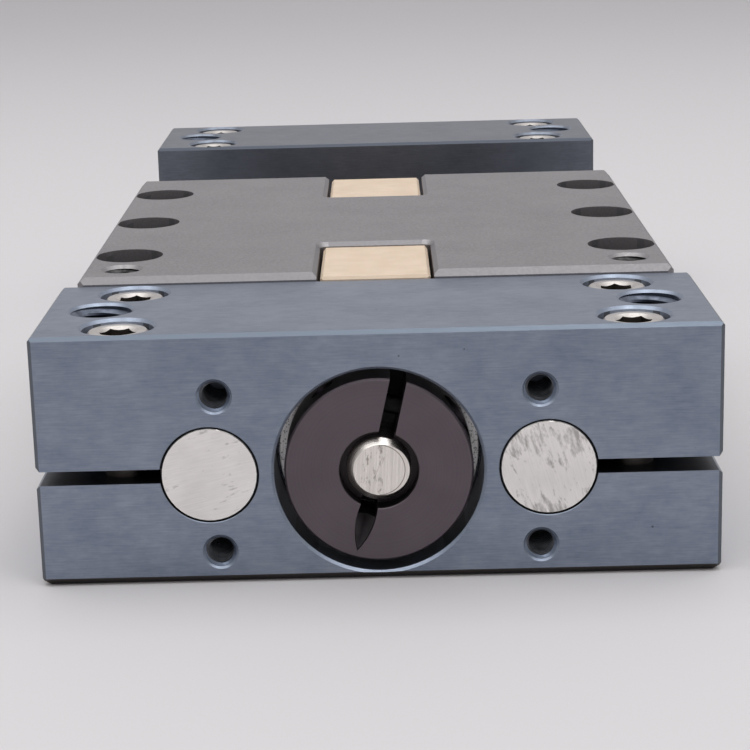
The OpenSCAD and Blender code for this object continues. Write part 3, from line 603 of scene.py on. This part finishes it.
SCREW_SEGMENTS = 64
SCREW_R = 0.005
SCREW_PITCH, SCREW_STARTS = 0.002, 2
SCREW_THREAD_HEIGHT = 0.00115
SCREW_CREST_PART, SCREW_FLANK_PART = 0.36, 0.14  # of the pitch
SCREW_END_R, SCREW_END_CHAMFER = 0.004, 0.00075
SCREW_FACE_R, SCREW_FACE_SHIFT, SCREW_FACE_HEIGHT = 0.0035, 0.0003, 0.93
SCREW_MARK_R, SCREW_MARK_W = 0.00322, 0.00006
SCREW_DARK_X, SCREW_DARK_FADE = 0.0006, (0.0022, 0.0010)  # where the dark marks are, left of the axis
JOURNAL_R, JOURNAL_CHAMFER, JOURNAL_DEPTH = 0.005, 0.0003, 0.0091
COLLAR_R, COLLAR_T = 0.0065, 0.002
TAIL_R, TAIL_GROOVE, RING_ROOM, SCREW_TAIL = 0.0035, 0.00025, 0.0011, 0.002
SCREW_FACE = ((0.66, 0.625, 0.58), (0.93, 0.88, 0.83))
SCREW_SCORE, SCREW_SCORE_DEPTH = (0.25, 0.22, 0.20), 0.8
SCREW_ROUGH = (0.34, 0.24)


def turned_rings_group():
    """Fine rings round the screw's axis, such as a lathe leaves, and the distance from that axis."""
    tree, given, result = start_group("turned rings", {"Rings per mm": 6.0}, ["Rings", "Radius"])
    radius = axis_distance(tree, 0, AXIS_Z)
    reach = calc(tree, "ADD", split(tree, stage_place(tree))["Y"], radius)
    count = calc(tree, "MULTIPLY", reach, calc(tree, "MULTIPLY", given["Rings per mm"], MM_PER_M))
    rings = node(tree, "ShaderNodeTexNoise", {"W": count, "Scale": 1.0, "Detail": 3.0, "Roughness": 0.7},
                 noise_dimensions="1D").outputs["Fac"]
    tree.links.new(remap(tree, rings, 0.28, 0.72), result["Rings"])
    tree.links.new(radius, result["Radius"])
    return tree


TURNED_RINGS = turned_rings_group()


def screw_steel():
    """Turned steel; the end face keeps upright tool marks, some dark, and an arc inside its rim."""
    material, tree, shader = start_material("screw_steel")
    end = place_group(tree, END_FACE)["Mask"]
    turned = place_group(tree, TURNED_RINGS, rings_per_mm=5.0)
    faced = strokes_at(tree, 86, 2.2, 14.0)
    deep = strokes_at(tree, 88, 1.1, 2.4)
    tone = node(tree, "ShaderNodeMix", {0: end, 2: turned["Rings"], 3: faced}).outputs[0]
    aside = split(tree, stage_place(tree))["X"]
    off_mark = calc(tree, "ABSOLUTE", calc(tree, "SUBTRACT", turned["Radius"], SCREW_MARK_R))
    arc = calc(tree, "MULTIPLY", calc(tree, "LESS_THAN", off_mark, SCREW_MARK_W),
               calc(tree, "GREATER_THAN", aside, 0.0))
    off_middle = calc(tree, "ABSOLUTE", calc(tree, "ADD", aside, SCREW_DARK_X))
    scored = calc(tree, "MULTIPLY", remap(tree, deep, 0.38, 0.16),
                  remap(tree, off_middle, *SCREW_DARK_FADE))
    marks = calc(tree, "MULTIPLY", calc(tree, "MAXIMUM", scored, arc), end)
    colour = cover(tree, marks, SCREW_SCORE_DEPTH, mix(tree, tone, *SCREW_FACE), SCREW_SCORE)
    finish(tree, shader, colour, tone, SCREW_ROUGH, BARE_METAL)
    roughen(tree, shader, tone, depth_mm=0.01, strength=0.5)
    return material


def lead_screw():
    """The whole screw: end face, journal and collar, then the thread, then the rear journal."""
    start, end = (corner[1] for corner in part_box("lead_screw"))
    collar_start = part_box("front_bearing_inner_rings")[1][1]
    collar_end = collar_start + COLLAR_T
    rear_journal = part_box("rear_bearing_inner_ring")[0][1]
    ring_y = end - SCREW_TAIL - RING_ROOM
    front_half = [
        (SCREW_FACE_R, start), (SCREW_END_R, start + SCREW_END_CHAMFER),
        (SCREW_END_R, start + JOURNAL_DEPTH), (JOURNAL_R - JOURNAL_CHAMFER, start + JOURNAL_DEPTH),
        (JOURNAL_R, start + JOURNAL_DEPTH + JOURNAL_CHAMFER), (JOURNAL_R, collar_start),
        (COLLAR_R, collar_start), (COLLAR_R, collar_end)]
    rear_half = [
        (TAIL_R, rear_journal), (TAIL_R, ring_y), (TAIL_R - TAIL_GROOVE, ring_y),
        (TAIL_R - TAIL_GROOVE, ring_y + RING_ROOM), (TAIL_R, ring_y + RING_ROOM),
        (TAIL_R, end - JOURNAL_CHAMFER), (TAIL_R - JOURNAL_CHAMFER, end)]
    root = SCREW_R - SCREW_THREAD_HEIGHT
    profile = [(0.0, SCREW_R), (SCREW_CREST_PART, SCREW_R),
               (SCREW_CREST_PART + SCREW_FLANK_PART, root), (1 - SCREW_FLANK_PART, root)]
    shape = bmesh.new()
    thread = add_thread(shape, rear_journal - collar_end, SCREW_PITCH, SCREW_STARTS, SCREW_SEGMENTS,
                        profile, (root, root))
    front = [add_ring(shape, r, y - collar_end, SCREW_SEGMENTS) for r, y in front_half]
    rear = [add_ring(shape, r, y - collar_end, SCREW_SEGMENTS) for r, y in rear_half]
    bmesh.ops.scale(shape, vec=(1, SCREW_FACE_HEIGHT, 1), verts=front[0])
    bmesh.ops.translate(shape, vec=(SCREW_FACE_SHIFT, 0, 0), verts=front[0])
    join_rings(shape, front + [thread[0]])
    join_rings(shape, [thread[1]] + rear)
    shape.faces.new(front[0])
    shape.faces.new(rear[-1])
    lay_down = Matrix.Translation((0, collar_end, AXIS_Z)) @ Matrix.Rotation(math.radians(-90), 4, "X")
    bmesh.ops.transform(shape, matrix=lay_down, verts=shape.verts)
    made = add_piece("threaded_lead_screw", shape, screw_steel(), "screw")
    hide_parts("lead_screw")


lead_screw()

# ---- Hub ----
# A split aluminium hub, turned, slotted and anodised nearly black, which clamps the screw's end. A
# pointed relief is milled opposite its slot, running out on two sloping flanks. A black socket screw
# crosses the slot, and a steel spacer sets the hub off the first bearing. The hub's edges and sink,
# the relief's flanks and the slot's screw are painted darker as shade, and the spacer is dressed black
# as shade in the slot.

HUB_TONES = ((0.114, 0.094, 0.107), (0.134, 0.112, 0.126))
# Painted shade on the hub's edges and in the sink round the screw's end.
HUB_EDGE_SHADE = (0.055, 0.048, 0.052)
HUB_SINK_SHADE, HUB_SINK_R = (0.034, 0.029, 0.031), 0.00495
HUB_ROUGH, HUB_METAL = (0.44, 0.36), 0.9
OXIDE_TONES = ((0.025, 0.025, 0.028), (0.055, 0.054, 0.055))
# The clamp screw in the slot is painted near black, as shade in the slot.
SLOT_SCREW_SHADE_TONES = ((0.004, 0.004, 0.004), (0.012, 0.012, 0.012))
# The relief's flanks are painted darker than the hub, as shade inside the relief.
RELIEF_SHADE_TONES = ((0.026, 0.024, 0.026), (0.042, 0.038, 0.041))
OXIDE_RUBBED = (0.3, 0.29, 0.28)
OXIDE_ROUGH, OXIDE_METAL = (0.5, 0.36), 0.8
RELIEF_LEAN = 16  # degrees
RELIEF_START, RELIEF_TIP, RELIEF_HALF_W = 0.00626, 0.0107, 0.00116
RELIEF_FLANK, RELIEF_VALLEY, RELIEF_FLOOR, RELIEF_LIP = 0.0009, 0.0017, 0.004, 0.00012
RELIEF_STEPS = 10


def hub_anodising():
    """Turned and anodised; the sink round the screw's end and the edges are painted nearly black as shade.
    """
    material, tree, shader = start_material("hub_anodising")
    turned = place_group(tree, TURNED_RINGS, rings_per_mm=4.0)
    clouds = place_group(tree, CLOUDS, size_mm=5.0)["Value"]
    tone = weigh(tree, turned["Rings"], 0.5, clouds, 0.5)
    edge = place_group(tree, BROKEN_EDGE, wear=0.4)["Mask"]
    colour = cover(tree, edge, 0.6, mix(tree, tone, *HUB_TONES), HUB_EDGE_SHADE)
    inside = calc(tree, "LESS_THAN", turned["Radius"], HUB_SINK_R)
    finish(tree, shader, mix(tree, inside, colour, HUB_SINK_SHADE), tone, HUB_ROUGH, HUB_METAL)
    roughen(tree, shader, turned["Rings"], depth_mm=0.008, strength=0.4)
    return material


def black_finish(name, tones, rubbed):
    """A clouded black finish on steel or aluminium, rubbed thin on its edges."""
    material, tree, shader = start_material(name)
    clouds = place_group(tree, CLOUDS, size_mm=1.5)["Value"]
    edge = place_group(tree, BROKEN_EDGE, wear=0.35)["Mask"]
    colour = cover(tree, edge, rubbed, mix(tree, clouds, *tones), OXIDE_RUBBED)
    finish(tree, shader, colour, clouds, OXIDE_ROUGH, OXIDE_METAL)
    return material


def relief_groove():
    """The two sloping flanks that the relief runs out on, below the screw's end."""
    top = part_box("screw_hub")[0][1]
    shape = bmesh.new()
    columns = []
    for i in range(RELIEF_STEPS + 1):
        part = i / RELIEF_STEPS
        radius = RELIEF_START + (RELIEF_TIP - RELIEF_START) * part
        half = RELIEF_HALF_W * (1 - part ** 2)
        flank = RELIEF_LIP + (RELIEF_FLANK - RELIEF_LIP) * (1 - part)
        valley = RELIEF_LIP + (RELIEF_VALLEY - RELIEF_LIP) * (1 - part)
        outline = [(-half, RELIEF_FLOOR), (-half, flank), (0, valley), (half, flank), (half, RELIEF_FLOOR)]
        if i == RELIEF_STEPS:
            outline = [(0, RELIEF_FLOOR), (0, flank)]
        columns.append([shape.verts.new((x, top + depth, -radius)) for x, depth in outline])
    join_rings(shape, columns[:-1])
    shape.faces.new(columns[0])
    last, (foot, tip) = columns[-2], columns[-1]
    shape.faces.new((last[0], last[1], tip, foot))
    shape.faces.new((last[1], last[2], tip))
    shape.faces.new((last[2], last[3], tip))
    shape.faces.new((last[3], last[4], foot, tip))
    shape.faces.new((last[4], last[0], foot))
    turn = Matrix.Translation((0, 0, AXIS_Z)) @ Matrix.Rotation(math.radians(RELIEF_LEAN), 4, "Y")
    bmesh.ops.transform(shape, matrix=turn, verts=shape.verts)
    # The flanks are painted darker than the hub, as shade inside the relief.
    material = black_finish("relief_painted_shade", RELIEF_SHADE_TONES, 0.0)
    add_piece("hub_relief_groove", shape, material, "screw")


BLACK_OXIDE = black_finish("black_oxide", OXIDE_TONES, 0.4)
dress(hub_anodising(), "screw_hub")
relief_groove()
# The clamp screw is painted near black, as shade in the slot.
dress(black_finish("slot_screw_painted_shade", SLOT_SCREW_SHADE_TONES, 0.1), "hub_clamp_screw")
# The steel spacer is dressed black, as shade where it shows through the slot.
dress(BLACK_OXIDE, "hub_spacer")

# ---- Ball bearings ----
# Two sealed bearings sit back to back behind the hub, and a smaller one holds the screw's far end.
# Rings and balls are ground chrome steel, the seals black rubber, and the cages riveted strip.

RING_STEEL = ((0.70, 0.69, 0.67), (0.95, 0.94, 0.92))
RING_SPECK, RING_ROUGH = (0.16, 0.155, 0.15), (0.34, 0.5)
CAGE_STEEL, CAGE_ROUGH = ((0.40, 0.40, 0.40), (0.60, 0.59, 0.58)), (0.45, 0.32)
BALL_STEEL, BALL_ROUGH = ((0.70, 0.70, 0.70), (0.80, 0.79, 0.78)), (0.14, 0.08)
SEAL_BLACK, SEAL_ROUGH = ((0.014, 0.014, 0.014), (0.030, 0.029, 0.028)), (0.62, 0.8)


def bearing_steel():
    """Ground steel with fine rings and dark specks of grease."""
    material, tree, shader = start_material("bearing_steel")
    rings = place_group(tree, TURNED_RINGS, rings_per_mm=7.0)["Rings"]
    specks = place_group(tree, SPECKS, cell_mm=0.28, size=0.45, share=0.7)["Mask"]
    colour = cover(tree, specks, 0.75, mix(tree, rings, *RING_STEEL), RING_SPECK)
    finish(tree, shader, colour, specks, RING_ROUGH, BARE_METAL)
    return material


def riveted_strip():
    """Pressed steel strip with a soft grey sheen."""
    material, tree, shader = start_material("riveted_strip")
    rings = place_group(tree, TURNED_RINGS, rings_per_mm=3.0)["Rings"]
    clouds = place_group(tree, CLOUDS, size_mm=4.0)["Value"]
    tone = weigh(tree, rings, 0.5, clouds, 0.5)
    finish(tree, shader, mix(tree, tone, *CAGE_STEEL), tone, CAGE_ROUGH, BARE_METAL)
    return material


def polished_balls():
    """Polished steel, nearly a mirror."""
    material, tree, shader = start_material("polished_balls")
    clouds = place_group(tree, CLOUDS, size_mm=2.0)["Value"]
    finish(tree, shader, mix(tree, clouds, *BALL_STEEL), clouds, BALL_ROUGH, BARE_METAL)
    return material


def seal_rubber():
    """Black rubber with a little dust."""
    material, tree, shader = start_material("seal_rubber")
    dust = place_group(tree, CLOUDS, size_mm=2.5)["Value"]
    finish(tree, shader, mix(tree, dust, *SEAL_BLACK), dust, SEAL_ROUGH, 0.0)
    return material


BEARING_STEEL = bearing_steel()
BALLS = polished_balls()
SEAL_RUBBER = seal_rubber()
dress(BEARING_STEEL, "front_bearing_outer_rings", "front_bearing_inner_rings",
      "rear_bearing_outer_ring", "rear_bearing_inner_ring")
dress(SEAL_RUBBER, "front_bearing_shields", "rear_bearing_shields")
dress(riveted_strip(), "front_bearing_cages", "rear_bearing_cage")
dress(BALLS, "front_bearing_balls", "rear_bearing_balls")
dress(BLACK_OXIDE, "rear_bearing_retainer", "screw_retainer")

# ---- Clamp screws ----
# Eight stainless socket cap screws close the slits on the rods. Their heads are forged and tumbled,
# so they are satin on top, and painted dark as shade in the sockets and down their sides.

SCREW_HEAD, SCREW_HEAD_ROUGH = ((0.50, 0.470, 0.445), (0.74, 0.705, 0.675)), (0.46, 0.34)
# Painted shade in the sockets and down the heads' sides.
SOCKET_SHADE, SOCKET_SHADE_DEPTH = (0.055, 0.045, 0.040), 0.92
SOCKET_RISE = 0.4  # faces that look up or down less than this are painted dark as shade


def stainless():
    """Tumbled stainless steel, with painted shade on its upright faces."""
    material, tree, shader = start_material("stainless")
    clouds = place_group(tree, CLOUDS, size_mm=1.6)["Value"]
    grain = place_group(tree, CLOUDS, size_mm=0.25)["Value"]
    tone = weigh(tree, clouds, 0.6, grain, 0.4)
    rise = calc(tree, "ABSOLUTE", split(tree, flat_normal(tree))["Z"])
    upright = calc(tree, "LESS_THAN", rise, SOCKET_RISE)
    # Upright faces, in the sockets and down the sides, are painted dark as shade.
    colour = cover(tree, upright, SOCKET_SHADE_DEPTH, mix(tree, tone, *SCREW_HEAD), SOCKET_SHADE)
    finish(tree, shader, colour, tone, SCREW_HEAD_ROUGH, BARE_METAL)
    roughen(tree, shader, grain, depth_mm=0.01, strength=0.5)
    return material


dress(stainless(), "front_clamp_screws", "rear_clamp_screws")

# ---- Carriage ----
# The carriage is one milled aluminium block, blasted and anodised dark grey. Six counterbored holes
# and two tapped ones near the front edge take what it carries.

CARRIAGE_TONES = ((0.250, 0.240, 0.248), (0.335, 0.322, 0.330))
CARRIAGE_PIT = (0.05, 0.05, 0.05)
CARRIAGE_EDGE = (0.36, 0.35, 0.36)
CARRIAGE_CHAMFER = (0.235, 0.228, 0.238)
CARRIAGE_ROUGH, CARRIAGE_METAL = (0.5, 0.4), 0.9
FRONT_THREAD = {"d": 0.005, "pitch": 0.0008, "mouth": 0.00045, "segments": 40}
FRONT_THREAD_DX, FRONT_THREAD_Y, FRONT_THREAD_DEPTH = 0.070, 0.006, 0.010
# The carriage's threads are painted far darker than the carriage, as shade deep in their holes.
FRONT_THREAD_SHADE_TONES = ((0.020, 0.020, 0.021), (0.100, 0.098, 0.100))


def carriage_anodising():
    """Blasted and anodised, with a fine grain, a few pits, and lighter worn edges."""
    material, tree, shader = start_material("carriage_anodising")
    grain = place_group(tree, CLOUDS, size_mm=0.35)["Value"]
    clouds = place_group(tree, CLOUDS, size_mm=9.0)["Value"]
    colour = mix(tree, weigh(tree, grain, 0.6, clouds, 0.4), *CARRIAGE_TONES)
    pits = place_group(tree, SPECKS, cell_mm=3.0, size=0.06, share=0.25)["Mask"]
    colour = cover(tree, pits, 0.7, colour, CARRIAGE_PIT)
    edge = place_group(tree, BROKEN_EDGE, wear=0.6)
    colour = cover(tree, edge["Mask"], 0.6, colour, CARRIAGE_EDGE)
    colour = mix(tree, edge["Straight"], colour, CARRIAGE_CHAMFER)
    finish(tree, shader, colour, grain, CARRIAGE_ROUGH, CARRIAGE_METAL)
    roughen(tree, shader, grain, depth_mm=0.012, strength=0.5)
    return material


dress(carriage_anodising(), "carriage")
FRONT_THREAD_SHADE = thread_anodising("front_thread_painted_shade", *FRONT_THREAD_SHADE_TONES)
carriage_low, carriage_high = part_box("carriage")
for side, hand in ((-1, "left"), (1, "right")):
    place = (side * FRONT_THREAD_DX / 2, carriage_low[1] + FRONT_THREAD_Y, carriage_high[2])
    tapped_thread(f"carriage_thread_{hand}", FRONT_THREAD, place, (0, 0, 1), FRONT_THREAD_DEPTH,
                  FRONT_THREAD_SHADE, "carriage")

# ---- Nut blocks ----
# Two machined blocks of cream acetal run on the screw, one at each end of the carriage. Black
# countersunk screws hold them from below.

NUT_CREAM = ((0.655, 0.510, 0.368), (0.755, 0.612, 0.470))
NUT_SPECK = (0.30, 0.20, 0.13)
NUT_ROUGH = (0.55, 0.42)
NUT_GLOW, NUT_GLOW_RADIUS = 0.08, (0.002, 0.0012, 0.0008)


def cream_plastic():
    """Machined acetal, faintly clouded and lined, which lets a little light in."""
    material, tree, shader = start_material("cream_plastic")
    clouds = place_group(tree, CLOUDS, size_mm=3.5)["Value"]
    lines = place_group(tree, MILLED_LINES, lines_per_mm=2.5, length_mm=7.0)["Lines"]
    tone = weigh(tree, clouds, 0.7, lines, 0.3)
    specks = place_group(tree, SPECKS, cell_mm=1.8, size=0.08, share=0.25)["Mask"]
    colour = cover(tree, specks, 0.5, mix(tree, tone, *NUT_CREAM), NUT_SPECK)
    finish(tree, shader, colour, lines, NUT_ROUGH, 0.0)
    shader.inputs["Subsurface Weight"].default_value = NUT_GLOW
    shader.inputs["Subsurface Radius"].default_value = NUT_GLOW_RADIUS
    roughen(tree, shader, tone, depth_mm=0.02, strength=0.4)
    return material


dress(cream_plastic(), "nut_front", "nut_rear")
dress(BLACK_OXIDE, "nut_screws")

# ---- Linear bushings ----
# Four linear ball bushings carry the carriage on the rods: a steel sleeve, a moulded cage with
# rows of balls, a rubber lip at each end, and a spring ring that holds the bushing in its bore.

RESIN_BLACK, RESIN_ROUGH = ((0.030, 0.030, 0.032), (0.048, 0.047, 0.048)), (0.5, 0.38)


def moulded_resin():
    """Black moulded resin with a fine grain."""
    material, tree, shader = start_material("moulded_resin")
    grain = place_group(tree, CLOUDS, size_mm=0.6)["Value"]
    finish(tree, shader, mix(tree, grain, *RESIN_BLACK), grain, RESIN_ROUGH, 0.0)
    roughen(tree, shader, grain, depth_mm=0.01, strength=0.4)
    return material


dress(BEARING_STEEL, "bushing_front_left", "bushing_front_right", "bushing_rear_left", "bushing_rear_right")
dress(moulded_resin(), "bushing_cages")
dress(BALLS, "bushing_balls")
dress(SEAL_RUBBER, "bushing_seals")
dress(BLACK_OXIDE, "bushing_retainers")
